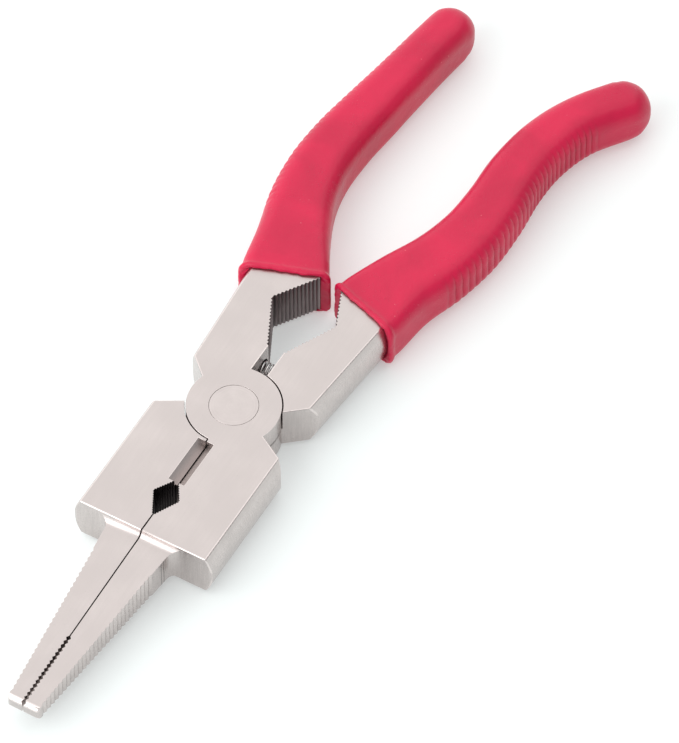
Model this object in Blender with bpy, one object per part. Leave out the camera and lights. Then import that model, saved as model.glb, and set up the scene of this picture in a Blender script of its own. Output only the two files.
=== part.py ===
"""Multi-function welding pliers lying flat: two forged levers, rivet, return spring and dipped grips."""
import math

import bmesh
import bpy
from mathutils import Vector

MM = 0.001
NAME = "welding_pliers"

# Driving dimensions, in millimetres. X is across, Y runs from the nose to the handles, Z is up,
# and the pivot axis is the Z axis.
THICK = 11.3            # forged steel, from face to face
GAP = 0.3               # air between neighbouring pieces
BOSS_R = 10.5           # round lap joint
RIVET_HEAD_R = 5.2
RIVET_SHANK_R = 3.6
RIVET_HEAD_H = 1.3

HEAD_HALF = 15.7        # pivot line to the top edge of the head's side
HEAD_BULGE = 1.6        # how far each side swells past that edge
HEAD_FRONT = -38.8
SHOULDER_DEG = 22.5     # where the shoulder leaves the boss, below the X axis
SHOULDER_DROP = 4.4     # fall of the shoulder on its way out

NOSE_TIP = -88.0
SEAM_X = -0.25          # where the closed jaws meet
NOSE_ROOT_HALF = 7.7
NOSE_TIP_HALF = 3.85
NOSE_ROOT_H = 8.0
NOSE_TIP_H = 3.9
NOSE_FILLET = 2.8        # from the nose's sides into the head's front

NOZZLE_HALF = 8.0       # half-width of the big diamond between the tangs
TIP_JAW_HALF = 3.1      # half-width of the small diamond in the head
TIP_JAW_ENDS = (-23.5, -33.7)
TIP_JAW_MID = -28.2
CUTTER_ENDS = (-11.4, -24.0)
CUTTER_HALF = 2.0
CUTTER_DEPTH = 2.2

TANG_FACE_DEG = 18.5    # where the tang's front face leaves the boss, above the X axis
TANG_BULGE = 1.5
SPRING_Y = 15.2
SPRING_R = 2.1
SPRING_WIRE = 0.45
SPRING_TURNS = 10
SPRING_SEAT = 4.0       # depth of each blind bore

GRIP_HALF_H = 6.5
GRIP_CORNER_R = 4.6
GRIP_WALL = 1.9
GRIP_MOUTH_WALL = 0.9   # the outer side's wall thins towards the mouth
GRIP_SCALE = 1.0        # stretches both handles behind their mouths
CORE_HALF_H = 4.4
RIB_PITCH = 1.9
RIB_DEPTH = 0.35

MID = THICK / 2

# The two tangs in their own frames, where x grows away from the other handle: the inner wall,
# both corners of the big diamond, the grip's mouth on the steel, then the handle's centre line
# with its half-width (x, y, half).
RIGHT = dict(
    wall=2.2, notch=17.8, corner=(0.3 + NOZZLE_HALF, 29.6), front=(16.4, 8.8),
    mouth=((4.5, 38.6), (18.8, 33.9)),
    path=((14.2, 48.6, 8.1), (18.2, 58.8, 7.65), (20.5, 68.8, 7.15), (20.95, 78.7, 6.8),
          (20.6, 88.7, 6.5), (21.8, 98.9, 6.1), (25.4, 109.1, 5.7), (31.9, 118.5, 5.6)),
)
LEFT = dict(
    wall=1.7, notch=17.8, corner=(-0.4 + NOZZLE_HALF, 29.8), front=(15.9, 8.8),
    mouth=((1.2, 39.4), (17.3, 33.7)),
    path=((13.2, 48.1, 8.3), (16.9, 58.5, 7.45), (18.5, 68.7, 6.85), (18.2, 78.8, 6.45),
          (16.9, 88.8, 6.1), (15.5, 98.8, 5.75), (14.1, 108.8, 5.45), (12.7, 117.8, 5.4)),
)

for old in list(bpy.data.objects):
    bpy.data.objects.remove(old, do_unlink=True)
PARTS = bpy.data.collections.new(NAME)
CUTTERS = bpy.data.collections.new(NAME + "_cutters")
for group in (PARTS, CUTTERS):
    bpy.context.scene.collection.children.link(group)


def material(name, colour, metallic, roughness):
    made = bpy.data.materials.new(name)
    made.use_nodes = True
    shader = made.node_tree.nodes["Principled BSDF"]
    shader.inputs["Base Color"].default_value = (*colour, 1.0)
    shader.inputs["Metallic"].default_value = metallic
    shader.inputs["Roughness"].default_value = roughness
    return made


STEEL = material("steel", (0.60, 0.57, 0.55), 1.0, 0.35)
RIVET_STEEL = material("rivet_steel", (0.62, 0.59, 0.57), 1.0, 0.32)
SPRING_STEEL = material("spring_steel", (0.30, 0.30, 0.31), 1.0, 0.30)
GRIP_RED = material("grip_red", (0.62, 0.02, 0.05), 0.0, 0.38)


def as_cutter(obj):
    obj.hide_render = True
    obj.display_type = "WIRE"
    return obj


def new_object(name, mesh, group):
    obj = bpy.data.objects.new(name, mesh)
    group.objects.link(obj)
    return as_cutter(obj) if group is CUTTERS else obj


def outline_solid(name, points, z0, z1, group=CUTTERS):
    """A flat outline in millimetres, filled and given thickness from z0 to z1."""
    curve = bpy.data.curves.new(name, "CURVE")
    curve.dimensions = "2D"
    curve.fill_mode = "BOTH"
    curve.extrude = (z1 - z0) / 2 * MM
    spline = curve.splines.new("POLY")
    spline.points.add(len(points) - 1)
    for point, (x, y) in zip(spline.points, points):
        point.co = (x * MM, y * MM, 0.0, 1.0)
    spline.use_cyclic_u = True
    flat = bpy.data.objects.new(name + "_curve", curve)
    CUTTERS.objects.link(flat)
    bpy.context.view_layer.update()
    mesh = bpy.data.meshes.new_from_object(flat.evaluated_get(bpy.context.evaluated_depsgraph_get()))
    bpy.data.objects.remove(flat, do_unlink=True)
    tidy = bmesh.new()
    tidy.from_mesh(mesh)
    bmesh.ops.remove_doubles(tidy, verts=tidy.verts, dist=1e-7)
    bmesh.ops.translate(tidy, verts=tidy.verts, vec=(0, 0, (z0 + z1) / 2 * MM))
    bmesh.ops.recalc_face_normals(tidy, faces=tidy.faces)
    tidy.to_mesh(mesh)
    tidy.free()
    mesh.name = name
    return new_object(name, mesh, group)


def side_solid(name, points, x0, x1):
    """A side profile of (y, z) points, given width from x0 to x1."""
    obj = outline_solid(name, points, x0, x1)
    # The outline's x, y and z become the world's y, z and x.
    for vertex in obj.data.vertices:
        x, y, z = vertex.co
        vertex.co = (z, x, y)
    return obj


def swept_section(name, points, start, end):
    """A section of (outward, up) points, swept in the plan from start to end."""
    start, end = Vector(start), Vector(end)
    run = end - start
    along = run.normalized()
    out = Vector((along.y, -along.x))
    obj = outline_solid(name, points, 0.0, run.length)
    for vertex in obj.data.vertices:
        u, up, s = vertex.co
        plan = start * MM + out * u + along * s
        vertex.co = (plan.x, plan.y, up)
    return reface(obj)


def reface(obj):
    """Turns every face of a closed cutter outward again."""
    mesh = bmesh.new()
    mesh.from_mesh(obj.data)
    bmesh.ops.recalc_face_normals(mesh, faces=mesh.faces)
    mesh.to_mesh(obj.data)
    mesh.free()
    return obj


def round_bar(name, radius, z0, z1, group=CUTTERS, sides=64, along="Z", at=(0.0, 0.0)):
    """A cylinder from z0 to z1, or along X at (y, z)."""
    mesh = bpy.data.meshes.new(name)
    made = bmesh.new()
    bmesh.ops.create_cone(made, cap_ends=True, segments=sides, radius1=radius * MM,
                          radius2=radius * MM, depth=(z1 - z0) * MM)
    bmesh.ops.translate(made, verts=made.verts, vec=(0, 0, (z0 + z1) / 2 * MM))
    if along == "X":
        for vertex in made.verts:
            x, y, z = vertex.co
            vertex.co = (z, x + at[0] * MM, y + at[1] * MM)
    made.to_mesh(mesh)
    made.free()
    return new_object(name, mesh, group)


def boolean(obj, other, operation="DIFFERENCE"):
    step = obj.modifiers.new(other.name, "BOOLEAN")
    step.operation = operation
    step.solver = "EXACT"
    step.object = other


def bake(obj):
    """Applies the modifiers, so that later steps work on the finished mesh."""
    bpy.context.view_layer.update()
    graph = bpy.context.evaluated_depsgraph_get()
    mesh = bpy.data.meshes.new_from_object(obj.evaluated_get(graph))
    obj.modifiers.clear()
    obj.data = mesh


def finish(obj, look, angle=30):
    obj.data.materials.clear()
    obj.data.materials.append(look)
    obj.data.shade_smooth()
    obj.data.set_sharp_from_angle(angle=math.radians(angle))


def polar(radius, degrees):
    return radius * math.cos(math.radians(degrees)), radius * math.sin(math.radians(degrees))


def arc(centre, radius, start, end, steps):
    """Points on an arc in the plan, from one angle to another in degrees."""
    turn = [start + (end - start) * i / steps for i in range(steps + 1)]
    return [(centre[0] + polar(radius, t)[0], centre[1] + polar(radius, t)[1]) for t in turn]


def toothed(start, end, pitch, depth):
    """Points along a row of V grooves, cut to the left of the way from start to end."""
    start, end = Vector(start), Vector(end)
    run = end - start
    count = max(2, round(run.length / pitch))
    left = Vector((-run.y, run.x)).normalized() * depth
    row = []
    for i in range(count):
        row += [tuple(start + run * (i / count)), tuple(start + run * ((i + 0.5) / count) + left)]
    return row + [tuple(end)]


def rounded(before, corner, after, radius, steps=4):
    """The corner between two straight edges, as a short curve."""
    before, corner, after = Vector(before), Vector(corner), Vector(after)
    a = corner + (before - corner).normalized() * radius
    b = corner + (after - corner).normalized() * radius
    spots = [i / steps for i in range(steps + 1)]
    return [tuple(a * (1 - t) ** 2 + corner * 2 * t * (1 - t) + b * t * t) for t in spots]


def smooth_path(knots, per=6):
    """A dense Catmull-Rom line through the knots, each (x, y, half-width)."""
    knots = [Vector(k) for k in knots]
    knots = [knots[0] * 2 - knots[1]] + knots + [knots[-1] * 2 - knots[-2]]
    line = []
    for a, b, c, d in zip(knots, knots[1:], knots[2:], knots[3:]):
        for i in range(per):
            t = i / per
            line.append(0.5 * (2 * b + (c - a) * t + (2 * a - 5 * b + 4 * c - d) * t ** 2
                               + (3 * b - a - 3 * c + d) * t ** 3))
    return line + [knots[-2]]


class Handle:
    """The centre line of one handle in its tang's frame, measured from the grip's mouth."""

    def __init__(self, tang):
        inner, outer = (Vector(p) for p in tang["mouth"])
        self.mouth_cross = (outer - inner).normalized()
        self.mouth_out = outer
        way = (outer - Vector(tang["front"])).normalized()
        self.side_out = Vector((way.y, -way.x))
        inner = inner - self.mouth_cross * (self.shell(0, -1) + GAP)
        outer = outer + self.mouth_cross * (self.shell(0, 1) + GAP)
        middle = (inner + outer) / 2
        knots = [(middle.x, middle.y, (outer - inner).length / 2)]
        for x, y, w in tang["path"]:
            knots.append((x, middle.y + (y - middle.y) * GRIP_SCALE, w))
        self.line = smooth_path(knots)
        self.reach = [0.0]
        for a, b in zip(self.line, self.line[1:]):
            self.reach.append(self.reach[-1] + (b - a).to_2d().length)
        self.length = self.reach[-1]

    def at(self, s):
        """(centre, direction across the handle, half-width) at a distance from the mouth."""
        k = 0
        while k < len(self.reach) - 2 and self.reach[k + 1] < s:
            k += 1
        a, b = self.line[k], self.line[k + 1]
        t = (s - self.reach[k]) / (self.reach[k + 1] - self.reach[k])
        spot = a + (b - a) * t
        lo, hi = self.line[max(k - 2, 0)], self.line[min(k + 3, len(self.line) - 1)]
        way = (hi - lo).to_2d().normalized()
        cross = Vector((way.y, -way.x))
        blend = min(max(s / 12.0, 0.0), 1.0)
        cross = (self.mouth_cross * (1 - blend) + cross * blend).normalized()
        return spot.to_2d(), cross, spot.z

    @staticmethod
    def shell(s, sign):
        """Thickness of the vinyl beside the steel, on the inner (-1) or the outer (1) side."""
        if sign < 0:
            return GRIP_WALL
        blend = min(max(s / 10.0, 0.0), 1.0)
        return GRIP_MOUTH_WALL + (GRIP_WALL - GRIP_MOUTH_WALL) * blend

    def stations(self, short):
        """Distances from the mouth where the steel core and the hollow round it both bend."""
        even = [14.0 + i * (self.length - 16.7) / 12 for i in range(12)]
        return [4.0, 7.0, 10.0] + even + [self.length - short]

    def side_cut(self, s):
        """How much the tang's swept side takes off the core's outer corners."""
        edge = Vector(self.core_points([s], 1)[0])
        return TANG_BULGE + min(0.0, (edge - self.mouth_out).dot(self.side_out))

    def core_points(self, stops, sign):
        """The steel's edge inside the grip, on the inner (-1) or the outer (1) side."""
        row = []
        for s in stops:
            centre, cross, half = self.at(s)
            row.append(tuple(centre + cross * sign * (half - self.shell(s, sign) - GAP)))
        return row


def section(half, high, outer_radius, inner_radius, steps):
    """A rounded rectangle, as (across, up) pairs from the outer side over the top."""
    ring = []
    for quarter, (sx, sy) in enumerate(((1, 1), (-1, 1), (-1, -1), (1, -1))):
        radius = outer_radius if sx > 0 else inner_radius
        for i in range(steps + 1):
            x, y = polar(radius, 90 * (quarter + i / steps))
            ring.append((sx * (half - radius) + x, sy * (high - radius) + y))
    return ring


def loft(name, rings, group):
    """Joins closed rings of equal length into one solid."""
    made = bmesh.new()
    rows = [[made.verts.new(Vector(p) * MM) for p in ring] for ring in rings]
    for low, high in zip(rows, rows[1:]):
        for i in range(len(low)):
            j = (i + 1) % len(low)
            made.faces.new((low[i], low[j], high[j], high[i]))
    made.faces.new(rows[0])
    made.faces.new(rows[-1])
    bmesh.ops.recalc_face_normals(made, faces=made.faces)
    mesh = bpy.data.meshes.new(name)
    made.to_mesh(mesh)
    made.free()
    return new_object(name, mesh, group)


def lever_outline(side, tang, handle):
    """The whole plan of one lever. Its tang is at +X when side is 1, and its jaw is opposite."""
    seam = GAP / 2
    wide = HEAD_HALF + HEAD_BULGE + side * SEAM_X

    # The jaw, walked from the boss round the shoulder, head and nose and back along the seam.
    shoulder = polar(BOSS_R, -SHOULDER_DEG)
    shoulder = (shoulder[0] + side * SEAM_X, shoulder[1])
    corner = (wide, shoulder[1] - SHOULDER_DROP)
    front = (wide, HEAD_FRONT)
    root = (NOSE_ROOT_HALF, HEAD_FRONT - NOSE_FILLET)
    tip = (NOSE_TIP_HALF, NOSE_TIP + 0.8)

    def nose_side(y):
        t = (y - root[1]) / (tip[1] - root[1])
        return root[0] + (tip[0] - root[0]) * t, y

    jaw = [shoulder]
    jaw += rounded(shoulder, corner, front, 2.0)
    jaw += rounded(corner, front, (0, HEAD_FRONT), 0.8)
    jaw += arc((root[0] + NOSE_FILLET, root[1]), NOSE_FILLET, 90, 180, 5)
    length = root[1] - NOSE_TIP
    jaw += toothed(nose_side(root[1] - 0.11 * length), nose_side(NOSE_TIP + 1.6), 1.4, -0.32)
    jaw += rounded(nose_side(NOSE_TIP + 1.5), (NOSE_TIP_HALF, NOSE_TIP), (0, NOSE_TIP), 0.7, 3)
    teeth_end = NOSE_TIP + 0.42 * length
    jaw += toothed((seam, NOSE_TIP), (seam, teeth_end), 1.17, -0.42)
    jaw += toothed((seam, TIP_JAW_ENDS[1]), (TIP_JAW_HALF, TIP_JAW_MID), 0.62, -0.26)
    jaw += toothed((TIP_JAW_HALF, TIP_JAW_MID), (seam, TIP_JAW_ENDS[0]), 0.62, -0.26)[1:]
    seam_meets = math.degrees(math.acos((seam - side * SEAM_X) / BOSS_R))

    # The tang, walked from the boss round its front face, along the handle and back.
    face = polar(BOSS_R, TANG_FACE_DEG)
    stops = handle.stations(2.7 + GAP)
    outer = handle.core_points(stops, 1)
    inner = handle.core_points(stops, -1)
    mouth_in, mouth_out = tang["mouth"]
    wall_y = math.sqrt(BOSS_R ** 2 - tang["wall"] ** 2)
    steel = [face]
    steel += rounded(face, tang["front"], mouth_out, 1.2)
    steel += [mouth_out] + outer + inner[::-1] + [mouth_in]
    steel += toothed(mouth_in, tang["corner"], 0.95, 0.38)[1:]
    steel += toothed(tang["corner"], (tang["wall"], tang["notch"]), 0.95, 0.38)[1:]
    steel += [(tang["wall"], wall_y)]
    wall_deg = math.degrees(math.atan2(wall_y, tang["wall"]))

    # Both walks go on round the boss, where its edge is free.
    steel += arc((0, 0), BOSS_R, wall_deg, 180 + SHOULDER_DEG, 26)[1:-1]
    jaw_mirrored = [(side * SEAM_X - x, y) for x, y in jaw]
    free = arc((0, 0), BOSS_R, 180 + seam_meets, 360 + TANG_FACE_DEG, 24)[:-1]
    return [(side * x, y) for x, y in steel + jaw_mirrored + free]


def side_profile():
    """Height of the steel along Y: the nose, its fillet into the head, the tangs and their cores."""
    step = MID - NOSE_ROOT_H / 2
    top = [(NOSE_TIP, MID + NOSE_TIP_H / 2 - 0.8), (NOSE_TIP + 0.8, MID + NOSE_TIP_H / 2)]
    top += [(y, z) for y, z in arc((HEAD_FRONT - step, THICK), step, -90, -8, 6)]
    top += [(HEAD_FRONT, THICK)]
    grip_in = max(RIGHT["mouth"][0][1], LEFT["mouth"][0][1]) + 0.5
    top += [(grip_in, THICK), (grip_in + 2.0, MID + CORE_HALF_H)]
    top += [(NOSE_TIP + 400, MID + CORE_HALF_H)]
    return top + [(y, THICK - z) for y, z in reversed(top)]


def bulge_cutter(name, start, end, swell):
    """Removes what lies outside a side that swells between its two edges."""
    steps = 10
    points = [(swell * (1 - (2 * i / steps - 1) ** 2), THICK * i / steps) for i in range(steps + 1)]
    points += [(0.0, THICK + 1), (swell + 6, THICK + 1), (swell + 6, -1), (0.0, -1)]
    return swept_section(name, points, start, end)


def make_lever(name, side, tang, handle):
    lever = outline_solid(name, lever_outline(side, tang, handle), -1.0, THICK + 1.0, PARTS)
    boolean(lever, side_solid(name + "_side", side_profile(), -80.0, 80.0), "INTERSECT")
    bake(lever)

    # The side of the head and the outer side of the tang swell between their top and bottom edges.
    head = [(-side * HEAD_HALF, 2.0), (-side * HEAD_HALF, HEAD_FRONT - 0.01)]
    front, mouth = Vector(tang["front"]), Vector(tang["mouth"][1])
    way = (mouth - front).normalized()
    inset = Vector((way.y, -way.x)) * -TANG_BULGE
    edge = [front - way * 5 + inset, mouth + way * 11 + inset]
    edge = [(side * p.x, p.y) for p in edge]
    if side < 0:
        head.reverse()
        edge.reverse()
    for label, (a, b), swell in (("head", head, HEAD_BULGE), ("tang", edge, TANG_BULGE)):
        boolean(lever, bulge_cutter(f"{name}_{label}_side", a, b, swell))

    # The half of the boss that belongs to the other lever.
    low, high = (MID - GAP / 2, THICK + 2) if side > 0 else (-2, MID + GAP / 2)
    boolean(lever, round_bar(name + "_lap", BOSS_R + GAP, low, high, sides=96))
    bake(lever)

    # Cutter bevels on both faces, rivet hole with its counterbore, and the spring's blind seat.
    y0, y1 = sorted(CUTTER_ENDS)
    for label, face, up in (("top", THICK, 1), ("bottom", 0.0, -1)):
        depth, over = CUTTER_DEPTH, 1.0
        grow = 1 + over / depth
        tri = [(-CUTTER_HALF * grow, face + up * over), (0.0, face - up * depth),
               (CUTTER_HALF * grow, face + up * over)]
        boolean(lever, swept_section(f"{name}_cutter_{label}", tri, (SEAM_X, y0), (SEAM_X, y1)))
    boolean(lever, round_bar(name + "_bore", RIVET_SHANK_R + GAP, -2, THICK + 2, sides=48))
    head_z = (-2, RIVET_HEAD_H + GAP) if side > 0 else (THICK - RIVET_HEAD_H - GAP, THICK + 2)
    boolean(lever, round_bar(name + "_counterbore", RIVET_HEAD_R + GAP, *head_z, sides=48))
    seat = (tang["wall"] - 3, tang["wall"] + SPRING_SEAT + GAP)
    seat = seat if side > 0 else (-seat[1], -seat[0])
    boolean(lever, round_bar(name + "_seat", SPRING_R + GAP, *seat, sides=32, along="X",
                             at=(SPRING_Y, MID)))
    bake(lever)
    finish(lever, STEEL)
    return lever


def make_grip(name, side, handle):
    """The dipped sleeve: ribbed on its outer side, rolled at the mouth and round at the end."""
    end_half = handle.at(handle.length)[2]
    rib_from, rib_to = 18.0 * GRIP_SCALE, handle.length - 8.0
    ribs = round((rib_to - rib_from) / RIB_PITCH)
    stops = [(0.0, -0.35, 0), (0.35, 0.15, 0), (1.0, 0.25, 0), (1.7, 0.0, 0), (5.0, 0, 0), (9.0, 0, 0),
             (13.0, 0, 0)]
    stops += [(rib_from + (rib_to - rib_from) * i / (2 * ribs), 0, i % 2) for i in range(2 * ribs + 1)]
    stops += [((rib_to + handle.length) / 2, 0, 0)]
    rings = []

    def ring(s, half, high, outer_radius, inner_radius, dent=0.0, corner=5):
        centre, cross, _ = handle.at(min(s, handle.length))
        past = Vector((-cross.y, cross.x)) * (s - min(s, handle.length))
        loop = []
        for u, up in section(half, high, outer_radius, inner_radius, corner):
            if u > 0:
                u -= dent * max(0.0, 1 - (up / (0.75 * high)) ** 2)
            spot = centre + past + cross * u
            loop.append((side * spot.x, spot.y, MID + up))
        return loop

    for s, lip, groove in stops:
        half = handle.at(s)[2]
        spread = min(s / 18.0, 1.0)
        radii = [mouth + (GRIP_CORNER_R - mouth) * spread for mouth in (3.2, 2.2)]
        rings.append(ring(s, half + lip, GRIP_HALF_H + lip, *radii, groove * RIB_DEPTH))
    for turn in (0, 20, 38, 54, 68, 80):
        across, along = polar(1.0, turn)
        half, high = end_half * across ** 0.85, GRIP_HALF_H * across ** 0.85
        radius = min(GRIP_CORNER_R, half * 0.95, high * 0.95)
        rings.append(ring(handle.length + end_half * along, half, high, radius, radius))
    grip = loft(name, rings, PARTS)

    # The hollow follows the steel with an even gap, and drops in height where the steel does.
    inside = []
    for s in [-3.0, 0.0] + handle.stations(2.7):
        centre, cross, half = handle.at(max(s, 0.0))
        centre = centre + Vector((-cross.y, cross.x)) * min(s, 0.0)
        wide, narrow = half - handle.shell(s, 1), half - handle.shell(s, -1)
        high = MID + GAP if s <= 7.0 else CORE_HALF_H + GAP
        swell = 0.75 * handle.side_cut(max(s, 0.0)) if s <= 7.0 else 0.1 * TANG_BULGE
        upper = [(wide, 0.4 * MID), (wide - swell, high), (-narrow, high)]
        inside.append([(side * (centre + cross * u).x, (centre + cross * u).y, MID + up)
                       for u, up in upper + [(u, -up) for u, up in reversed(upper)]])
    boolean(grip, loft(name + "_hollow", inside, CUTTERS))
    bake(grip)
    finish(grip, GRIP_RED, 50)
    return grip


def make_rivet():
    rivet = round_bar("pivot_rivet", RIVET_SHANK_R, 0.5, THICK - 0.5, PARTS, 48)
    for z0, z1 in ((0.0, RIVET_HEAD_H), (THICK - RIVET_HEAD_H, THICK)):
        boolean(rivet, round_bar(f"rivet_head_{z0:.0f}", RIVET_HEAD_R, z0, z1, sides=48), "UNION")
    bake(rivet)
    finish(rivet, RIVET_STEEL)
    return rivet


def make_spring():
    """A wire coil along X, between the ends of its two seats."""
    x0 = -LEFT["wall"] - SPRING_SEAT + SPRING_WIRE / 2
    x1 = RIGHT["wall"] + SPRING_SEAT - SPRING_WIRE / 2
    radius = SPRING_R - SPRING_WIRE / 2
    per = 14
    curve = bpy.data.curves.new("return_spring", "CURVE")
    curve.dimensions = "3D"
    curve.bevel_depth = SPRING_WIRE / 2 * MM
    curve.bevel_resolution = 1
    curve.use_fill_caps = True
    count = SPRING_TURNS * per + 1
    spline = curve.splines.new("POLY")
    spline.points.add(count - 1)
    for i, point in enumerate(spline.points):
        t = i / (count - 1)
        y, z = polar(radius, 360 * SPRING_TURNS * t)
        # The end turns lie closer together than the working turns.
        x = x0 + (x1 - x0) * (t - 0.35 * math.sin(4 * math.pi * t) / (4 * math.pi))
        point.co = (x * MM, (SPRING_Y + y) * MM, (MID + z) * MM, 1.0)
    obj = bpy.data.objects.new("return_spring_curve", curve)
    CUTTERS.objects.link(obj)
    bpy.context.view_layer.update()
    mesh = bpy.data.meshes.new_from_object(obj.evaluated_get(bpy.context.evaluated_depsgraph_get()))
    bpy.data.objects.remove(obj, do_unlink=True)
    weld = bmesh.new()
    weld.from_mesh(mesh)
    bmesh.ops.remove_doubles(weld, verts=weld.verts, dist=1e-6)
    bmesh.ops.recalc_face_normals(weld, faces=weld.faces)
    weld.to_mesh(mesh)
    weld.free()
    spring = new_object("return_spring", mesh, PARTS)
    finish(spring, SPRING_STEEL, 60)
    return spring


def main():
    right, left = Handle(RIGHT), Handle(LEFT)
    lower = make_lever("lower_lever", 1, RIGHT, right)
    upper = make_lever("upper_lever", -1, LEFT, left)
    rivet = make_rivet()
    spring = make_spring()
    right_grip = make_grip("right_grip", 1, right)
    left_grip = make_grip("left_grip", -1, left)
    for child in (rivet, spring, right_grip):
        child.parent = lower
    left_grip.parent = upper


main()
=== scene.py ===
"""Looks of the welding pliers: forged levers, flush rivet, return spring and dipped grips."""

import math

import bmesh
import bpy
from bpy.props import FloatProperty, FloatVectorProperty, IntProperty, PointerProperty
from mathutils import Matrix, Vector, noise


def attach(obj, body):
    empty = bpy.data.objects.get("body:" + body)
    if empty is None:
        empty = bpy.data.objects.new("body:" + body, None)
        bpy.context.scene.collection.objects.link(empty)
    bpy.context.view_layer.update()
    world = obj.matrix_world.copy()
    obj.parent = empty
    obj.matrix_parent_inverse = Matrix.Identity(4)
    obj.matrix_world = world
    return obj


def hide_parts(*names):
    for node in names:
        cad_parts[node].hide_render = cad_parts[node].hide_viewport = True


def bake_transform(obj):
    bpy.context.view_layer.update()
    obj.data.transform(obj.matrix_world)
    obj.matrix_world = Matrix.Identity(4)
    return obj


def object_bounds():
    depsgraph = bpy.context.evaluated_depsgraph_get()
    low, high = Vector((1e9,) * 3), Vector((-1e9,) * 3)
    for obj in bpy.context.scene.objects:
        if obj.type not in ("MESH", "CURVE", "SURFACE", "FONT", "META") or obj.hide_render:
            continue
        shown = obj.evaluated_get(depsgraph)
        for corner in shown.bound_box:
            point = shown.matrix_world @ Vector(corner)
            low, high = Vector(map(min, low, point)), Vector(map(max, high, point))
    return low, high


bl_info = {
    "name": "Welding Pliers Looks",
    "version": (1, 0, 0),
    "blender": (4, 5, 0),
    "location": "3D View > Sidebar > Pliers",
    "description": "Builds the visible pieces of a pair of welding pliers "
                   "around their packed frame",
    "category": "Object",
}

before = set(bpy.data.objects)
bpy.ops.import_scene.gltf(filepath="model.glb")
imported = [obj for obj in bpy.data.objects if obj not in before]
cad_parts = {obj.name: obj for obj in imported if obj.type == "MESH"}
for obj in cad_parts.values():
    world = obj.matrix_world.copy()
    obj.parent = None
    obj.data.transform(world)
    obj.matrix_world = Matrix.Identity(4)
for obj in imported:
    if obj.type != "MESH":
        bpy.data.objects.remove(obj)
CAD_LOW, CAD_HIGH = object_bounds()

MM = 0.001
THICK = 11.3                     # forged steel, from face to face
MID = THICK / 2
BOSS_R = 10.5                    # round lap joint at the pivot
SEAM_X = -0.25                   # where the closed jaws meet
GAP = 0.3                        # air that the frame leaves between neighbours
SPRING_Y = 15.2
SPRING_SPAN = (-5.5, 6.0)        # between the bottoms of the two blind seats
GRIP_HALF_H = 6.5
CORE_HALF_H = 4.4                # the steel tongue inside each grip
ROOT_GROOVES = (-42.3, -43.2)      # two grooves across the nose's sides, near its root, as bumps with painted shade in them

# Stretches of the levers, each (half-width, from y, to y) or (from y, to y).
SMALL_DIAMOND = (3.7, -34.3, -23.2)
BIG_DIAMOND = (8.6, 17.2, 40.0)
NOSE_SPAN = (-87.0, -39.0)

# Shares of the full broken edge that the finer edges of a forging get.
SEAT_SHARE = 0.18                # round the rivet
FINE_SHARE = 0.22                # diamonds, seam, head and tangs
LIGHT_SHARE = 0.3                # round the lap joint and along the nose

LEVEL = 0.9999                   # a face whose normal rises above this lies flat
BROAD_AREA = 9.0                 # square mm, above which a face is shaded flat
WELD = 0.002                     # corners closer than this are one
FLAT_ANGLE = 0.6                 # degrees, below which faces belong to one flat
BREAK_ANGLE = 38                 # degrees, below which an edge is left unbroken
# The last two slots paint shade into the toothed jaws, deeper in the small diamond.
SATIN, BURNISHED, BROACHED_SHADE, DEEPER_TEETH_SHADE = range(4)    # a forging's material slots, in order

SECTION_STEPS = 9                # points round each corner of a grip's section
FLAT_STEPS = 12                  # points along each of its flats
RIB_STEPS = 6                    # sections from rib to rib
FIRST_RIB = 18.0                 # from the mouth to the first rib
PAST_RIBS = 8.0                  # from the last rib to the start of the end's dome
PAST_CORE = 2.7                  # from the end of the hollow to the same place
DOME_CORNER = 4.6                # largest corner radius in the end's dome

FLOOR_HALF = 3.0                 # metres
FLOOR_GLOW = 0.34
CAMERA_AZIMUTH, CAMERA_ELEVATION = 30.0, 53.0
CAMERA_SHIFT = (0.02293, 0.00729)    # aim to the right of the pivot and above it, in metres
CAMERA_DISTANCE = 1.8
CAMERA_LENS = 402.0

# Each handle in its tang's frame, where x grows away from the other handle: the grip's mouth on
# the steel, from the inner wall to the outer side, and then the centre line as (x, y, half-width).
RIGHT_MOUTH = ((4.5, 38.6), (18.8, 33.9))
RIGHT_PATH = (
    (14.2, 48.6, 8.1), (18.2, 58.8, 7.65), (20.5, 68.8, 7.15), (20.95, 78.7, 6.8),
    (20.6, 88.7, 6.5), (21.8, 98.9, 6.1), (25.4, 109.1, 5.7), (31.9, 118.5, 5.6),
)
LEFT_MOUTH = ((1.2, 39.4), (17.3, 33.7))
LEFT_PATH = (
    (13.2, 48.1, 8.3), (16.9, 58.5, 7.45), (18.5, 68.7, 6.85), (18.2, 78.8, 6.45),
    (16.9, 88.8, 6.1), (15.5, 98.8, 5.75), (14.1, 108.8, 5.45), (12.7, 117.8, 5.4),
)


# Settings

class SteelSettings(bpy.types.PropertyGroup):
    edge_width: FloatProperty(
        name="Edge Width", description="Width of the broken edges round each forging",
        default=0.26 * MM, min=0.0, unit="LENGTH")
    colour: FloatVectorProperty(
        name="Nickel", description="Colour of the satin nickel finish",
        subtype="COLOR", size=3, min=0.0, max=1.0, default=(0.60, 0.545, 0.53))
    # The teeth's colour is painted shade in the toothed jaws.
    teeth_shade_colour: FloatVectorProperty(
        name="Teeth Painted Shade", description="Colour of the darker steel in the toothed jaws",
        subtype="COLOR", size=3, min=0.0, max=1.0, default=(0.16, 0.135, 0.135))
    roughness: FloatProperty(
        name="Roughness", description="How blurred the steel's reflections are",
        subtype="FACTOR", default=0.36, min=0.0, max=1.0)


class RivetSettings(bpy.types.PropertyGroup):
    head_radius: FloatProperty(
        name="Head Radius", description="Radius of each flush head",
        default=5.45 * MM, unit="LENGTH")
    shank_radius: FloatProperty(
        name="Shank Radius", description="Radius between the two heads",
        default=3.7 * MM, unit="LENGTH")


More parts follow.
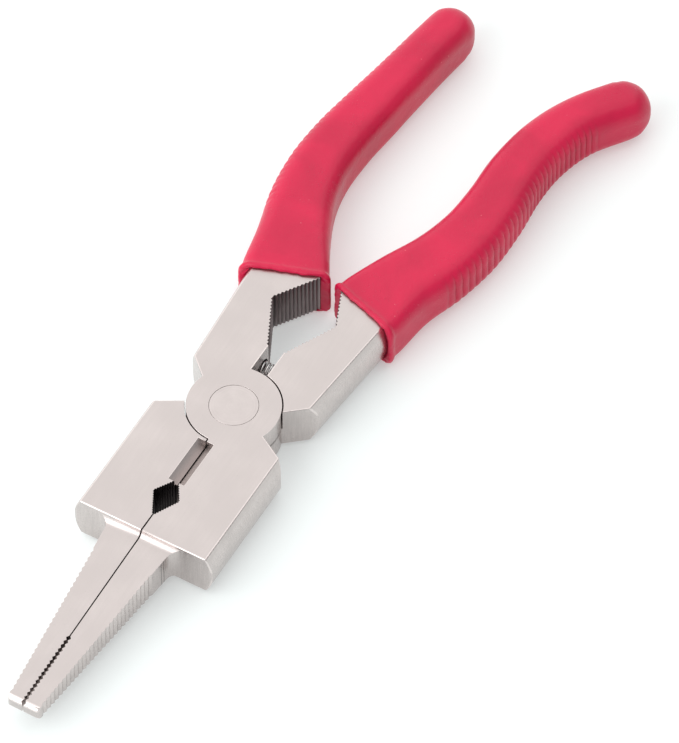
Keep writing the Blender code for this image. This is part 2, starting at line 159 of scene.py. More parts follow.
class SpringSettings(bpy.types.PropertyGroup):
    wire: FloatProperty(
        name="Wire", description="Diameter of the spring wire",
        default=0.45 * MM, unit="LENGTH")
    radius: FloatProperty(
        name="Coil Radius", description="Outer radius of the coil",
        default=2.1 * MM, unit="LENGTH")
    turns: IntProperty(name="Turns", description="Number of turns", default=10, min=3)


class GripSettings(bpy.types.PropertyGroup):
    colour: FloatVectorProperty(
        name="Vinyl", description="Colour of the dipped vinyl",
        subtype="COLOR", size=3, min=0.0, max=1.0, default=(0.58, 0.005, 0.054))
    rib_pitch: FloatProperty(
        name="Rib Pitch", description="Distance from rib to rib",
        default=1.9 * MM, unit="LENGTH")
    rib_depth: FloatProperty(
        name="Rib Depth", description="Depth of the grooves between the ribs",
        default=0.42 * MM, unit="LENGTH")
    lip: FloatProperty(
        name="Lip", description="How far the rolled lip stands proud at the mouth",
        default=0.25 * MM, unit="LENGTH")


class StageSettings(bpy.types.PropertyGroup):
    floor: FloatVectorProperty(
        name="Floor", description="Colour of the floor",
        subtype="COLOR", size=3, min=0.0, max=1.0, default=(0.59, 0.635, 0.63))
    key_power: FloatProperty(
        name="Key Light", description="Power of the overhead softbox",
        default=19.0, min=0.0, unit="POWER")
    front_power: FloatProperty(
        name="Front Light", description="Power of the low softbox at the nose",
        default=9.3, min=0.0, unit="POWER")
    ambient: FloatProperty(
        name="Ambient", description="Strength of the light from all round",
        default=0.48, min=0.0)


class PliersSettings(bpy.types.PropertyGroup):
    steel: PointerProperty(type=SteelSettings, name="Steel", description="The two forgings")
    rivet: PointerProperty(type=RivetSettings, name="Rivet", description="The flush rivet")
    spring: PointerProperty(type=SpringSettings, name="Spring", description="The return spring")
    grips: PointerProperty(type=GripSettings, name="Grips", description="The dipped grips")
    stage: PointerProperty(type=StageSettings, name="Stage", description="Floor and lights")


# Materials

class Value:
    """A number that changes over a surface, so that shader maths reads as ordinary maths."""

    def __init__(self, graph, socket):
        self.graph, self.socket = graph, socket

    def maths(self, operation, *terms):
        return self.graph.add("ShaderNodeMath", {"operation": operation}, dict(enumerate(terms)))

    def __add__(self, other):
        return self.maths("ADD", self, other)

    def __sub__(self, other):
        return self.maths("SUBTRACT", self, other)

    def __rsub__(self, other):
        return self.maths("SUBTRACT", other, self)

    def __mul__(self, other):
        return self.maths("MULTIPLY", self, other)

    def __abs__(self):
        return self.maths("ABSOLUTE", self)

    __radd__, __rmul__ = __add__, __mul__

    def between(self, low, high):
        """0 at low and 1 at high, with soft ends, and held outside them."""
        return self.graph.add(
            "ShaderNodeMapRange", {"interpolation_type": "SMOOTHSTEP"},
            {"Value": self, "From Min": low, "From Max": high}, "Result")


class Finish:
    """One material: its shader with constants set, and the nodes that vary it over the surface."""

    def __init__(self, name, **constants):
        self.material = bpy.data.materials.new(name)
        self.material.use_nodes = True
        self.tree = self.material.node_tree
        self.shader = self.tree.nodes["Principled BSDF"]
        for socket, value in constants.items():
            self.shader.inputs[socket.replace("_", " ")].default_value = value
        self.place = self.add("ShaderNodeTexCoord", {}, {}, "Object")

    def add(self, kind, settings, inputs, output=0):
        """A node: its own settings first, then its sockets' values or links. Gives one output."""
        node = self.tree.nodes.new(kind)
        for name, value in settings.items():
            setattr(node, name, value)
        for name, value in inputs.items():
            if isinstance(value, Value):
                self.tree.links.new(value.socket, node.inputs[name])
            else:
                node.inputs[name].default_value = value
        return Value(self, node.outputs[output])

    def stretched(self, x, y, z):
        """The place on the piece in millimetres, stretched along each axis."""
        return self.add("ShaderNodeVectorMath", {"operation": "MULTIPLY"},
                        {0: self.place, 1: (x / MM, y / MM, z / MM)})

    def noise(self, place, scale, detail=3.0, distortion=0.0):
        return self.add("ShaderNodeTexNoise", {"noise_dimensions": "3D"},
                        {"Vector": place, "Scale": scale, "Detail": detail,
                         "Distortion": distortion}, "Fac")

    def line_noise(self, distance, scale, detail=2.0):
        """Noise along one measure, such as the distance from an axis."""
        return self.add("ShaderNodeTexNoise", {"noise_dimensions": "1D"},
                        {"W": distance, "Scale": scale, "Detail": detail}, "Fac")

    def spots(self, place, scale):
        """Distance from the nearest of many scattered points."""
        return self.add("ShaderNodeTexVoronoi", {"feature": "F1"},
                        {"Vector": place, "Scale": scale}, "Distance")

    def part(self, vector, axis):
        return self.add("ShaderNodeSeparateXYZ", {}, {0: vector}, axis)

    def mix(self, amount, first, second):
        """A colour between two."""
        first, second = ((*c, 1.0) if isinstance(c, (tuple, list)) else c for c in (first, second))
        return self.add("ShaderNodeMix", {"data_type": "RGBA"}, {0: amount, 6: first, 7: second}, 2)

    def drive(self, **links):
        """Sends varying values to the shader's sockets."""
        for socket, value in links.items():
            self.tree.links.new(value.socket, self.shader.inputs[socket.replace("_", " ")])
        return self.material

    def relief(self, height, depth):
        """The surface normal over a height that runs from 0 to 1, for a depth in metres."""
        return self.add("ShaderNodeBump", {}, {"Strength": 1.0, "Distance": depth,
                                               "Height": height}, "Normal")


def shade(colour, factor):
    return tuple(min(1.0, c * factor) for c in colour)


def satin_nickel(name, colour, roughness):
    """Lightly ground nickel: fine grain, grinding lines down the sides, faint clouds, and painted
    shade in two grooves by the nose's root.
    """
    finish = Finish(name, Metallic=1.0, IOR=2.4)
    mm = finish.stretched(1, 1, 1)
    upward = abs(finish.part(finish.add("ShaderNodeNewGeometry", {}, {}, "Normal"), "Z"))
    side = 1 - upward.between(0.25, 0.8)
    clouds = finish.noise(mm, 0.11, 2.0)
    grain = finish.noise(mm, 7.0, 4.0)
    lines = finish.noise(finish.stretched(2.6, 2.6, 0.16), 1.0, 3.0, 0.4)
    brushed = finish.noise(finish.stretched(1.8, 0.10, 1.8), 1.0, 3.0, 0.3)
    streaks = lines * side + brushed * (1 - side) * 0.35
    tone = clouds * 0.35 + grain * 0.25 + streaks * 0.4
    pits = 1 - finish.spots(mm, 0.9).between(0.03, 0.10)
    across, along, _ = (finish.part(mm, axis) for axis in "XYZ")
    cut = abs(across - SEAM_X).between(5.0, 5.6)
    score_lines = sum((1 - abs(along - y).between(0.05, 0.22) for y in ROOT_GROOVES), 0.0) * side * cut
    base = finish.mix(tone.between(0.28, 0.72), shade(colour, 0.87), shade(colour, 1.07))
    base = finish.mix(pits * 0.5, base, shade(colour, 0.6))
    # Painted shade: the two grooves by the nose's root are darkened in colour, over their bumps.
    base = finish.mix(score_lines * 0.75, base, shade(colour, 0.3))
    rough = roughness - 0.07 + grain * 0.08 + clouds * 0.06 - side * 0.09
    height = grain * 0.6 + streaks * 0.9 - pits * 0.8 - score_lines * 3.0
    return finish.drive(Base_Color=base, Roughness=rough,
                        Normal=finish.relief(height, 0.012 * MM))


def burnished_edge(name, colour, roughness):
    """Edges rubbed bright by handling, with short dull nicks along them."""
    finish = Finish(name, Metallic=1.0, IOR=2.4)
    mm = finish.stretched(1, 1, 1)
    nicks = finish.noise(mm, 1.6, 3.0, 0.5).between(0.56, 0.70)
    grain = finish.noise(mm, 8.0, 3.0)
    bright = finish.mix(grain, shade(colour, 1.10), shade(colour, 1.28))
    base = finish.mix(nicks * 0.6, bright, shade(colour, 0.82))
    return finish.drive(Base_Color=base, Roughness=roughness - 0.12 + grain * 0.06 + nicks * 0.12,
                        Normal=finish.relief(grain * 0.5 - nicks * 0.5, 0.012 * MM))


def broached_steel_with_painted_shade(name, colour):
    """Cut steel in the toothed jaws under painted shade, with broach lines, and the tooth crests
    left lighter than the painted shade.
    """
    finish = Finish(name, Metallic=1.0)
    lines = finish.noise(finish.stretched(5.0, 5.0, 0.3), 1.0, 3.0, 0.3)
    grain = finish.noise(finish.stretched(1, 1, 1), 9.0, 3.0)
    crest = finish.add("ShaderNodeNewGeometry", {}, {}, "Pointiness").between(0.50, 0.58)
    tone = lines * 0.6 + grain * 0.4
    # Painted shade: the teeth's dark colour, painted lighter on their crests.
    base = finish.mix(tone.between(0.3, 0.7), shade(colour, 0.65), shade(colour, 1.35))
    base = finish.mix(crest * 0.7, base, shade(colour, 2.6))
    return finish.drive(Base_Color=base, Roughness=0.38 + grain * 0.2,
                        Normal=finish.relief(tone, 0.015 * MM))


def turned_rivet(name, colour, roughness):
    """Peened and ground rivet steel: faint rings about its own axis under a fine grain."""
    finish = Finish(name, Metallic=1.0, IOR=2.4)
    mm = finish.stretched(1, 1, 1)
    radius = finish.add("ShaderNodeVectorMath", {"operation": "LENGTH"},
                        {0: finish.stretched(1, 1, 0)}, "Value")
    grain = finish.noise(mm, 6.0, 4.0)
    clouds = finish.noise(mm, 0.35, 2.0)
    rings = finish.line_noise(radius, 3.0)
    tone = rings * 0.2 + grain * 0.4 + clouds * 0.4
    base = finish.mix(tone.between(0.25, 0.75), shade(colour, 0.92), shade(colour, 1.06))
    return finish.drive(Base_Color=base, Roughness=roughness - 0.04 + grain * 0.1,
                        Normal=finish.relief(rings * 0.2 + grain * 0.8, 0.006 * MM))


def drawn_wire(name):
    """Bright spring wire with faint draw lines and a darker film in places."""
    finish = Finish(name, Metallic=1.0)
    film = finish.noise(finish.stretched(1, 1, 1), 0.9, 3.0)
    score_lines = finish.noise(finish.stretched(9.0, 1.2, 1.2), 1.0, 2.0)
    base = finish.mix(film.between(0.35, 0.7), (0.78, 0.77, 0.76), (0.45, 0.44, 0.45))
    return finish.drive(Base_Color=base, Roughness=0.16 + score_lines * 0.16,
                        Normal=finish.relief(score_lines, 0.01 * MM))


def dipped_vinyl(name, colour):
    """Soft red vinyl: slow waves in the skin, pits in patches, dull and glossy areas, and painted
    glints on small raised specks.
    """
    finish = Finish(name, IOR=1.40, Coat_Roughness=0.22)
    mm = finish.stretched(1, 1, 1)
    clouds = finish.noise(mm, 0.07, 3.0, 0.6)
    skin = finish.noise(mm, 0.55, 3.0, 0.4)
    grain = finish.noise(mm, 4.5, 4.0)
    patches = finish.noise(mm, 0.10, 2.0, 1.0).between(0.48, 0.60)
    pits = 1 - finish.spots(mm, 1.7).between(0.05, 0.30)
    speck_bumps_and_glints = 1 - finish.spots(mm, 0.33).between(0.02, 0.06)
    base = finish.mix(clouds.between(0.3, 0.7), shade(colour, 0.90), shade(colour, 1.08))
    # Painted glints: light pink dots over the small speck bumps.
    base = finish.mix(speck_bumps_and_glints * 0.5, base, (0.80, 0.25, 0.28))
    rough = 0.30 + clouds * 0.10 + grain * 0.06 - patches * 0.05
    height = skin * 0.9 + grain * 0.08 + pits * patches * 0.7 + speck_bumps_and_glints * 0.3
    return finish.drive(Base_Color=base, Roughness=rough, Coat_Weight=0.04 + clouds * 0.08,
                        Normal=finish.relief(height, 0.10 * MM))


def paper_sweep(name, colour):
    """Matt white paper with a barely visible tooth."""
    finish = Finish(name, Roughness=0.9, Emission_Color=(1.0, 1.0, 1.0, 1.0),
                    Emission_Strength=FLOOR_GLOW)
    tooth = finish.noise(finish.stretched(1, 1, 1), 1.2, 3.0)
    wash = finish.noise(finish.stretched(1, 1, 1), 0.01, 2.0)
    base = finish.mix(wash, shade(colour, 0.995), shade(colour, 1.005))
    return finish.drive(Base_Color=base, Normal=finish.relief(tooth, 0.01 * MM))


# Geometry

def piece(name, mesh, body, slot, *nodes):
    """Adds a finished mesh as a visible piece that rides on a body and stands for CAD nodes."""
    obj = bpy.data.objects.new(name, mesh)
    bpy.context.scene.collection.objects.link(obj)
    if body:
        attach(obj, body)
    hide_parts(*nodes)
    return obj


def smooth(mesh, angle):
    mesh.shade_smooth()
    mesh.set_sharp_from_angle(angle=math.radians(angle))


def in_small_diamond(x, y):
    half, start, end = SMALL_DIAMOND
    return abs(x - SEAM_X) < half and start < y < end


def in_big_diamond(x, y):
    half, start, end = BIG_DIAMOND
    return abs(x) < half and start < y < end


def edge_share(edge):
    """How much of the full broken edge an edge of a forging gets."""
    if not edge.is_convex or edge.calc_face_angle(0.0) < math.radians(BREAK_ANGLE):
        return 0.0
    x, y, z = (edge.verts[0].co + edge.verts[1].co) / (2 * MM)
    radius = math.hypot(x, y)
    upright = abs(edge.verts[0].co.z - edge.verts[1].co.z) > 0.5 * MM
    inside = 1.0 < z < THICK - 1.0 and radius < BOSS_R + 1.0
    if inside or (upright and radius < BOSS_R + 0.8):
        return 0.0
    if radius < 6.5:
        return SEAT_SHARE
    if abs(radius - BOSS_R - 0.15) < 0.35:
        return LIGHT_SHARE
    if in_small_diamond(x, y) or in_big_diamond(x, y):
        return 0.0 if upright else FINE_SHARE
    if abs(x - SEAM_X) < 0.75 and y < 0:
        return 0.0 if upright else FINE_SHARE
    if y > 42.0 or (abs(x - SEAM_X) < 3.0 and -25.0 < y < 0):
        return FINE_SHARE
    if NOSE_SPAN[0] < y < NOSE_SPAN[1]:
        return 0.0 if upright else LIGHT_SHARE
    return 1.0


def refill_flats(mesh):
    """Fills each level flat again from its rims alone, so that no cut is left across it."""
    work = bmesh.new()
    work.from_mesh(mesh)
    flats = {}
    for face in work.faces:
        if abs(face.normal.z) > LEVEL:
            height = round(face.verts[0].co.z / (0.01 * MM))
            flats.setdefault((height, face.normal.z > 0), set()).add(face)
    for (_, facing_up), faces in flats.items():
        edges = {edge for face in faces for edge in face.edges}
        rims = [edge for edge in edges if any(face not in faces for face in edge.link_faces)]
        cuts = [edge for edge in edges if all(face in faces for face in edge.link_faces)]
        bmesh.ops.delete(work, geom=list(faces), context="FACES_ONLY")
        bmesh.ops.delete(work, geom=cuts, context="EDGES")
        bmesh.ops.triangle_fill(work, edges=rims, use_beauty=True,
                                normal=(0.0, 0.0, 1.0 if facing_up else -1.0))
    bmesh.ops.recalc_face_normals(work, faces=work.faces)
    work.to_mesh(mesh)
    work.free()


def forging(node, name, body, settings, finishes):
    """A lever made from its CAD solid, with its flats made whole again and its edges broken."""
    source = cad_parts[node].data
    mesh = bpy.data.meshes.new(name)
    mesh.from_pydata([v.co for v in source.vertices], [], [p.vertices for p in source.polygons])
    work = bmesh.new()
    work.from_mesh(mesh)
    bmesh.ops.remove_doubles(work, verts=work.verts, dist=WELD * MM)
    bmesh.ops.dissolve_limit(work, angle_limit=math.radians(FLAT_ANGLE), verts=work.verts,
                             edges=work.edges)
    share = work.edges.layers.float.new("bevel_weight_edge")
    for edge in work.edges:
        edge[share] = edge_share(edge)
    for face in work.faces:
        x, y, _ = face.calc_center_median() / MM
        if abs(face.normal.z) < 0.3:
            # Upright faces in the toothed jaws take the painted shade, darker in the small diamond.
            if in_small_diamond(x, y):
                face.material_index = DEEPER_TEETH_SHADE
            elif in_big_diamond(x, y):
                face.material_index = BROACHED_SHADE
            else:
                face.material_index = SATIN
    work.to_mesh(mesh)
    work.free()
    for finish in finishes:
        mesh.materials.append(finish)
    obj = piece(name, mesh, body, "steel", node)
    bevel = obj.modifiers.new("broken_edges", "BEVEL")
    bevel.limit_method = "WEIGHT"
    bevel.width = settings.edge_width
    bevel.segments = 3
    bevel.use_clamp_overlap = False
    bevel.miter_outer = "MITER_SHARP"
    bevel.material = BURNISHED
    bake(obj)
    refill_flats(obj.data)
    smooth(obj.data, 32)
    for face in obj.data.polygons:
        if abs(face.normal.z) > LEVEL or face.area > BROAD_AREA * MM ** 2:
            face.use_smooth = False


def bake(obj):
    """Applies the modifiers."""
    bpy.context.view_layer.update()
    graph = bpy.context.evaluated_depsgraph_get()
    mesh = bpy.data.meshes.new_from_object(obj.evaluated_get(graph))
    obj.modifiers.clear()
    obj.data = mesh


def lathe(name, profile, steps):
    """A closed turned solid from (radius, z) points that start and end on the axis."""
    work = bmesh.new()
    rings = []
    for radius, z in profile:
        if radius == 0.0:
            rings.append([work.verts.new((0.0, 0.0, z))])
            continue
        turns = [2 * math.pi * i / steps for i in range(steps)]
        rings.append([work.verts.new((radius * math.cos(t), radius * math.sin(t), z))
                      for t in turns])
    for low, high in zip(rings, rings[1:]):
        for i in range(steps):
            j = (i + 1) % steps
            corners = [low[i % len(low)], low[j % len(low)], high[j % len(high)],
                       high[i % len(high)]]
            work.faces.new(list(dict.fromkeys(corners)))
    bmesh.ops.recalc_face_normals(work, faces=work.faces)
    mesh = bpy.data.meshes.new(name)
    work.to_mesh(mesh)
    work.free()
    return mesh


def quarter(centre, radius, start, steps):
    """A quarter circle of (across, up) points from a start angle in degrees."""
    turns = [math.radians(start + 90 * i / steps) for i in range(steps + 1)]
    return [(centre[0] + radius * math.cos(t), centre[1] + radius * math.sin(t)) for t in turns]


def smooth_path(knots, per):
    """A dense Catmull-Rom line through the knots, each (x, y, half-width)."""
    knots = [Vector(k) for k in knots]
    knots = [knots[0] * 2 - knots[1]] + knots + [knots[-1] * 2 - knots[-2]]
    line = []
    for a, b, c, d in zip(knots, knots[1:], knots[2:], knots[3:]):
        for i in range(per):
            t = i / per
            line.append(0.5 * (2 * b + (c - a) * t + (2 * a - 5 * b + 4 * c - d) * t ** 2
                               + (3 * b - a - 3 * c + d) * t ** 3))
    return line + [knots[-2]]


class Handle:
    """The centre line of one grip in its tang's frame, measured in millimetres from its mouth."""

    WALL, MOUTH_WALL = 1.9, 0.9

    def __init__(self, mouth, path):
        inner, outer = (Vector(p) for p in mouth)
        self.mouth_cross = (outer - inner).normalized()
        inner = inner - self.mouth_cross * (self.shell(0, -1) + GAP)
        outer = outer + self.mouth_cross * (self.shell(0, 1) + GAP)
        middle = (inner + outer) / 2
        self.line = smooth_path([(middle.x, middle.y, (outer - inner).length / 2), *path], 6)
        self.reach = [0.0]
        for a, b in zip(self.line, self.line[1:]):
            self.reach.append(self.reach[-1] + (b - a).to_2d().length)
        self.length = self.reach[-1]

    def shell(self, s, sign):
        """Thickness of the vinyl beside the steel, on the inner (-1) or the outer (1) side."""
        if sign < 0:
            return self.WALL
        return self.MOUTH_WALL + (self.WALL - self.MOUTH_WALL) * min(max(s / 10.0, 0.0), 1.0)

    def spot(self, s):
        k = 0
        while k < len(self.reach) - 2 and self.reach[k + 1] < s:
            k += 1
        t = (s - self.reach[k]) / (self.reach[k + 1] - self.reach[k])
        return self.line[k] + (self.line[k + 1] - self.line[k]) * t

    def at(self, s):
        """(centre, direction across, half-width), also just before the mouth or past the end."""
        held = min(max(s, 0.0), self.length)
        ahead = self.spot(min(held + 3.5, self.length)).to_2d()
        behind = self.spot(max(held - 3.5, 0.0)).to_2d()
        way = (ahead - behind).normalized()
        cross = Vector((way.y, -way.x))
        blend = min(held / 12.0, 1.0)
        cross = (self.mouth_cross * (1 - blend) + cross * blend).normalized()
        spot = self.spot(held)
        centre = spot.to_2d() + Vector((-cross.y, cross.x)) * (s - held)
        return centre, cross, spot.z


def section(half, high, outer_radius, inner_radius):
    """A rounded rectangle of (across, up) points from the outer side over the top."""
    corners = []
    for turn, (sx, sy) in enumerate(((1, 1), (-1, 1), (-1, -1), (1, -1))):
        radius = outer_radius if sx > 0 else inner_radius
        corners.append(quarter((sx * (half - radius), sy * (high - radius)), radius, 90 * turn,
                               SECTION_STEPS))
    ring = []
    for corner, following in zip(corners, corners[1:] + corners[:1]):
        ring += corner
        (x0, y0), (x1, y1) = corner[-1], following[0]
        for i in range(1, FLAT_STEPS):
            t = i / FLAT_STEPS
            ring.append((x0 + (x1 - x0) * t, y0 + (y1 - y0) * t))
    return ring


def eased(t):
    t = min(max(t, 0.0), 1.0)
    return t * t * (3 - 2 * t)


def dipped_sleeve(name, side, handle, settings):
    """A dipped grip: skin, rolled lip at the mouth, ribs down the outer side and a hollow."""
    lip, pitch, depth = settings.lip / MM, settings.rib_pitch / MM, settings.rib_depth / MM
    first_rib, last_rib = FIRST_RIB, handle.length - PAST_RIBS
    ribs = round((last_rib - first_rib) / pitch)
    work = bmesh.new()

    def wobble(x, y, z, size, amount):
        return noise.noise(Vector((x, y, z)) / size) * amount

    def ring(s, half, high, outer_radius, inner_radius, dent=0.0, ragged=0.0, crown=0.0):
        centre, cross, _ = handle.at(s)
        along = Vector((-cross.y, cross.x))
        row = []
        for u, up in section(half, high, outer_radius, inner_radius):
            if u > 0:
                u -= dent * max(0.0, 1 - (up / (0.93 * high)) ** 4)
                u -= crown * (up / MID) ** 2
            spot = centre + cross * u
            wave = wobble(side * spot.x, spot.y, up, 9.0, 0.07 * eased(s / 6.0))
            spot += cross * (wave if u > 0 else -wave)
            spot += along * ragged * (wobble(side * spot.x, spot.y, up, 2.4, 1.0)
                                      + wobble(side * spot.x, spot.y, up, 0.8, 0.8))
            row.append(work.verts.new(
                Vector((side * spot.x, spot.y, MID + up + (wave if up > 0 else -wave) * 0.5)) * MM))
        return row

    def radii(s):
        spread = eased(s / 20.0)
        return 3.2 + 1.2 * spread, 2.2 + 1.7 * spread

    # The hollow, from its closed end out to the mouth.
    rings = []
    depths = [handle.length - PAST_CORE - i * (handle.length - 16.7) / 12 for i in range(13)]
    for s in depths + [10.0, 7.0, 4.0, 2.4, 1.2, 0.3]:
        half = handle.at(s)[2]
        cling = 0.22 * (1 - eased((s - 1.0) / 3.0))
        wide, narrow = half - handle.shell(s, 1) - cling, half - handle.shell(s, -1) - cling
        high = (MID if s <= 7.0 else CORE_HALF_H) + GAP - cling
        rings.append(ring(s, (wide + narrow) / 2, high, 0.45, 0.45,
                          ragged=0.22 if s < 1 else 0.0, crown=1.5 if s <= 7.0 else 0.2))
        shift = (wide - narrow) / 2
        _, cross, _ = handle.at(s)
        for vertex in rings[-1]:
            vertex.co += Vector((side * cross.x, cross.y, 0.0)) * shift * MM

    # The rolled lip and the skin as far as the end's dome.
    bead = [(0.0, -0.62), (0.02, -0.40), (0.10, -0.20), (0.24, -0.04), (0.42, 0.06), (0.64, 0.11),
            (0.90, 0.11), (1.16, 0.07), (1.42, 0.0), (1.70, -0.06), (2.0, -0.09), (2.5, -0.08),
            (3.2, -0.04)]
    for s, rise in bead:
        half = handle.at(s)[2]
        rings.append(ring(s, half + rise + lip * (1 - eased((s - 0.9) / 0.9)) * 0.55,
                          GRIP_HALF_H + rise + lip * (1 - eased((s - 0.9) / 0.9)) * 0.55,
                          *radii(s), ragged=0.30 * (1 - eased(s / 2.4))))
    plain = 4.0
    while plain < first_rib - 0.6:
        rings.append(ring(plain, handle.at(plain)[2], GRIP_HALF_H, *radii(plain)))
        plain += 0.9
    for i in range(ribs * RIB_STEPS + 1):
        s = first_rib + (last_rib - first_rib) * i / (ribs * RIB_STEPS)
        groove = (1 - abs(math.sin(math.pi * i / RIB_STEPS))) ** 1.6
        ease = eased((s - first_rib + 1.0) / 5.0) * eased((last_rib + 1.0 - s) / 7.0)
        rings.append(ring(s, handle.at(s)[2], GRIP_HALF_H, *radii(s), dent=depth * groove * ease))
    for i in range(1, 7):
        s = last_rib + (handle.length - last_rib) * i / 7
        rings.append(ring(s, handle.at(s)[2], GRIP_HALF_H, *radii(s)))
    end_half = handle.at(handle.length)[2]
    for i in range(15):
        turn = math.radians(87 * i / 14)
        size = math.cos(turn) ** 0.85
        half, high = end_half * size, GRIP_HALF_H * size
        corner = min(DOME_CORNER, half * 0.96, high * 0.96)
        rings.append(ring(handle.length + end_half * math.sin(turn), half, high, corner, corner))

    count = len(rings[0])
    for low, high in zip(rings, rings[1:]):
        for i in range(count):
            j = (i + 1) % count
            work.faces.new((low[i], low[j], high[j], high[i]))
    for cap in (rings[0], rings[-1]):
        middle = work.verts.new(sum((v.co for v in cap), Vector()) / count)
        for i in range(count):
            work.faces.new((cap[i], cap[(i + 1) % count], middle))
    bmesh.ops.recalc_face_normals(work, faces=work.faces)
    mesh = bpy.data.meshes.new(name)
    work.to_mesh(mesh)
    work.free()
    smooth(mesh, 55)
    return mesh


# Operators

class PLIERS_OT_levers(bpy.types.Operator):
    """Builds both forged levers with broken edges, in satin nickel with painted shade in the
    broached teeth
    """

    bl_idname = "pliers.levers"
    bl_label = "Forged Levers"

    def execute(self, context):
        settings = context.scene.pliers.steel
        colour, roughness = tuple(settings.colour), settings.roughness
        teeth_shade_colour = tuple(settings.teeth_shade_colour)
        finishes = (satin_nickel("satin_nickel", colour, roughness),
                    burnished_edge("burnished_edge", colour, roughness),
                    # Painted shade for the toothed jaws, darker again in the small diamond.
                    broached_steel_with_painted_shade("broached_teeth_painted_shade", teeth_shade_colour),
                    broached_steel_with_painted_shade("teeth_deeper_painted_shade", shade(teeth_shade_colour, 0.3)))
        forging("lower_lever", "forged_lower_lever", "lower_half", settings, finishes)
        forging("upper_lever", "forged_upper_lever", "upper_half", settings, finishes)
        return {"FINISHED"}


class PLIERS_OT_rivet(bpy.types.Operator):
    """Turns the flush rivet that fills its counterbores but for a hairline"""

    bl_idname = "pliers.rivet"
    bl_label = "Flush Rivet"

    def execute(self, context):
        settings = context.scene.pliers.rivet
        steel = context.scene.pliers.steel
        head, shank = settings.head_radius, settings.shank_radius
        break_r, seat, top = 0.12 * MM, 1.3 * MM, THICK * MM
        upper = [(shank, top - seat), (head, top - seat)]
        upper += quarter((head - break_r, top - break_r), break_r, 0, 4)
        upper += [(head * 0.75, top - 0.005 * MM), (head * 0.4, top), (0.0, top)]
        lower = [(radius, top - z) for radius, z in reversed(upper)]
        mesh = lathe("flush_rivet", lower + upper, 96)
        mesh.materials.append(turned_rivet("rivet_nickel", shade(steel.colour, 0.93),
                                           steel.roughness))
        smooth(mesh, 30)
        piece("flush_rivet", mesh, "lower_half", "rivet_steel", "pivot_rivet")
        return {"FINISHED"}


class PLIERS_OT_spring(bpy.types.Operator):
    """Winds the return spring between its two seats"""

    bl_idname = "pliers.spring"
    bl_label = "Return Spring"

    def execute(self, context):
        settings = context.scene.pliers.spring
        per_turn, sides = 28, 10
        wire = settings.wire / 2
        radius = settings.radius - wire
        low, high = SPRING_SPAN[0] * MM + wire, SPRING_SPAN[1] * MM - wire
        count = settings.turns * per_turn + 1
        work = bmesh.new()
        rings = []

        def centre(i):
            t = i / (count - 1)
            # The turns lie closer together at both ends and in the middle than between.
            x = low + (high - low) * (t - 0.35 * math.sin(4 * math.pi * t) / (4 * math.pi))
            turn = 2 * math.pi * settings.turns * t
            return Vector((x, SPRING_Y * MM + radius * math.cos(turn),
                           MID * MM + radius * math.sin(turn)))

        for i in range(count):
            spot = centre(i)
            way = (centre(i + 0.5) - centre(i - 0.5)).normalized()
            outward = Vector((0.0, spot.y - SPRING_Y * MM, spot.z - MID * MM)).normalized()
            up = way.cross(outward)
            angles = [2 * math.pi * k / sides for k in range(sides)]
            rings.append([work.verts.new(spot + outward * wire * math.cos(a)
                                         + up * wire * math.sin(a)) for a in angles])
        for one, other in zip(rings, rings[1:]):
            for k in range(sides):
                n = (k + 1) % sides
                work.faces.new((one[k], one[n], other[n], other[k]))
        for cap in (rings[0], rings[-1]):
            work.faces.new(cap)
        bmesh.ops.recalc_face_normals(work, faces=work.faces)
        mesh = bpy.data.meshes.new("coil_spring")
        work.to_mesh(mesh)
        work.free()
        mesh.materials.append(drawn_wire("spring_wire"))
        smooth(mesh, 50)
        obj = piece("coil_spring", mesh, None, "spring_steel", "return_spring")
        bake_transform(obj)
        return {"FINISHED"}


class PLIERS_OT_grips(bpy.types.Operator):
    """Dips both handles in ribbed red vinyl with a rolled lip"""

    bl_idname = "pliers.grips"
    bl_label = "Dipped Grips"

    def execute(self, context):
        settings = context.scene.pliers.grips
        vinyl = dipped_vinyl("dipped_vinyl", tuple(settings.colour))
        handles = (
            ("right", 1, Handle(RIGHT_MOUTH, RIGHT_PATH), "lower_half"),
            ("left", -1, Handle(LEFT_MOUTH, LEFT_PATH), "upper_half"),
        )
        for label, side, handle, body in handles:
            mesh = dipped_sleeve(f"dipped_{label}_grip", side, handle, settings)
            mesh.materials.append(vinyl)
            piece(f"dipped_{label}_grip", mesh, body, "grip_red", f"{label}_grip")
        return {"FINISHED"}


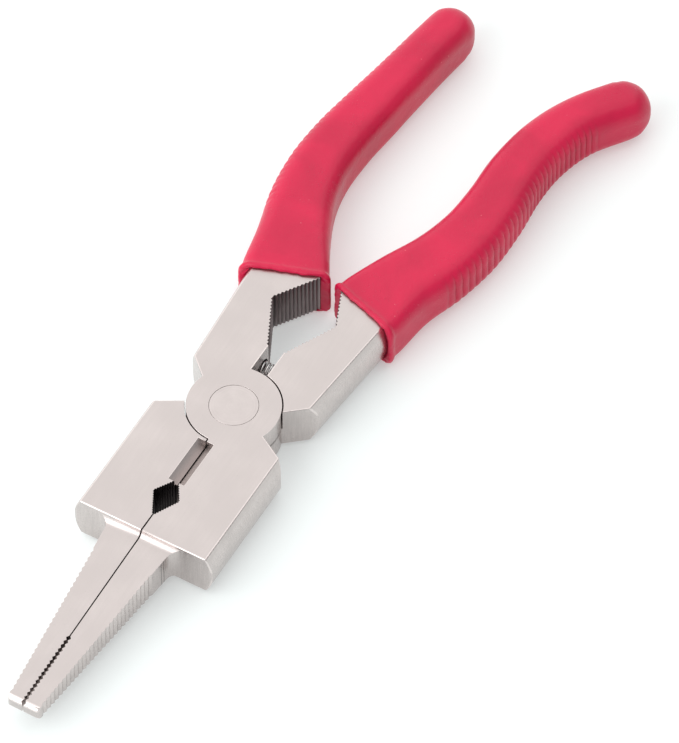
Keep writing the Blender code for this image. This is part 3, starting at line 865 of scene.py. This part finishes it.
class PLIERS_OT_stage(bpy.types.Operator):
    """Adds the white floor, the softboxes and the camera"""

    bl_idname = "pliers.stage"
    bl_label = "Stage"

    def execute(self, context):
        scene, settings = context.scene, context.scene.pliers.stage
        half, level = FLOOR_HALF, CAD_LOW.z
        mesh = bpy.data.meshes.new("floor")
        mesh.from_pydata([(-half, -half, level), (half, -half, level), (half, half, level),
                          (-half, half, level)], [], [(0, 1, 2, 3)])
        mesh.materials.append(paper_sweep("white_paper", tuple(settings.floor)))
        floor = bpy.data.objects.new("floor", mesh)
        scene.collection.objects.link(floor)

        world = bpy.data.worlds.new("studio")
        world.use_nodes = True
        background = world.node_tree.nodes["Background"]
        background.inputs["Color"].default_value = (1.0, 1.0, 1.0, 1.0)
        background.inputs["Strength"].default_value = settings.ambient
        scene.world = world

        aim = Vector((0.0, 0.03, 0.0))
        self.softbox(scene, "key_softbox", aim, (-0.36, 0.42, 0.83), 1.0, (2.6, 2.6),
                     settings.key_power, (1.0, 0.995, 0.985))
        self.softbox(scene, "front_softbox", aim, (-0.38, -0.80, 0.50), 1.1, (1.1, 1.15),
                     settings.front_power, (1.0, 1.0, 1.0))

        # The camera looks down along a line given by its azimuth and elevation.
        azimuth, elevation = math.radians(CAMERA_AZIMUTH), math.radians(CAMERA_ELEVATION)
        right = Vector((math.cos(azimuth), math.sin(azimuth), 0.0))
        back = Vector((math.sin(azimuth) * math.cos(elevation),
                       -math.cos(azimuth) * math.cos(elevation), math.sin(elevation)))
        up = back.cross(right)
        target = Vector((0.0, 0.0, THICK * MM)) + right * CAMERA_SHIFT[0] + up * CAMERA_SHIFT[1]
        lens = bpy.data.cameras.new("camera")
        lens.lens = CAMERA_LENS
        lens.sensor_width = 36.0
        lens.clip_start, lens.clip_end = 0.05, 20.0
        camera = bpy.data.objects.new("camera", lens)
        camera.location = target + back * CAMERA_DISTANCE
        camera.rotation_euler = (-back).to_track_quat("-Z", "Y").to_euler()
        scene.collection.objects.link(camera)
        scene.camera = camera
        scene.view_settings.view_transform = "Standard"
        return {"FINISHED"}

    @staticmethod
    def softbox(scene, name, aim, way, distance, size, power, colour):
        lamp = bpy.data.lights.new(name, "AREA")
        lamp.shape = "RECTANGLE"
        lamp.size, lamp.size_y = size
        lamp.energy = power
        lamp.color = colour
        obj = bpy.data.objects.new(name, lamp)
        obj.location = aim + Vector(way).normalized() * distance
        obj.rotation_euler = (-Vector(way)).to_track_quat("-Z", "Y").to_euler()
        scene.collection.objects.link(obj)


class PLIERS_PT_sidebar(bpy.types.Panel):
    """Lists the pieces and their settings"""

    bl_idname = "PLIERS_PT_sidebar"
    bl_label = "Welding Pliers"
    bl_space_type = "VIEW_3D"
    bl_region_type = "UI"
    bl_category = "Pliers"

    def draw(self, context):
        settings = context.scene.pliers
        for group, operator in (("steel", "pliers.levers"), ("rivet", "pliers.rivet"),
                                ("spring", "pliers.spring"), ("grips", "pliers.grips"),
                                ("stage", "pliers.stage")):
            box = self.layout.box()
            box.operator(operator)
            values = getattr(settings, group)
            for name in values.__annotations__:
                box.prop(values, name)


CLASSES = (
    SteelSettings, RivetSettings, SpringSettings, GripSettings, StageSettings, PliersSettings,
    PLIERS_OT_levers, PLIERS_OT_rivet, PLIERS_OT_spring, PLIERS_OT_grips, PLIERS_OT_stage,
    PLIERS_PT_sidebar,
)


def register():
    for cls in CLASSES:
        bpy.utils.register_class(cls)
    bpy.types.Scene.pliers = PointerProperty(type=PliersSettings)


def unregister():
    del bpy.types.Scene.pliers
    for cls in reversed(CLASSES):
        bpy.utils.unregister_class(cls)


def main():
    register()
    bpy.ops.pliers.levers()
    bpy.ops.pliers.rivet()
    bpy.ops.pliers.spring()
    bpy.ops.pliers.grips()
    bpy.ops.pliers.stage()


if __name__ == "__main__":
    main()
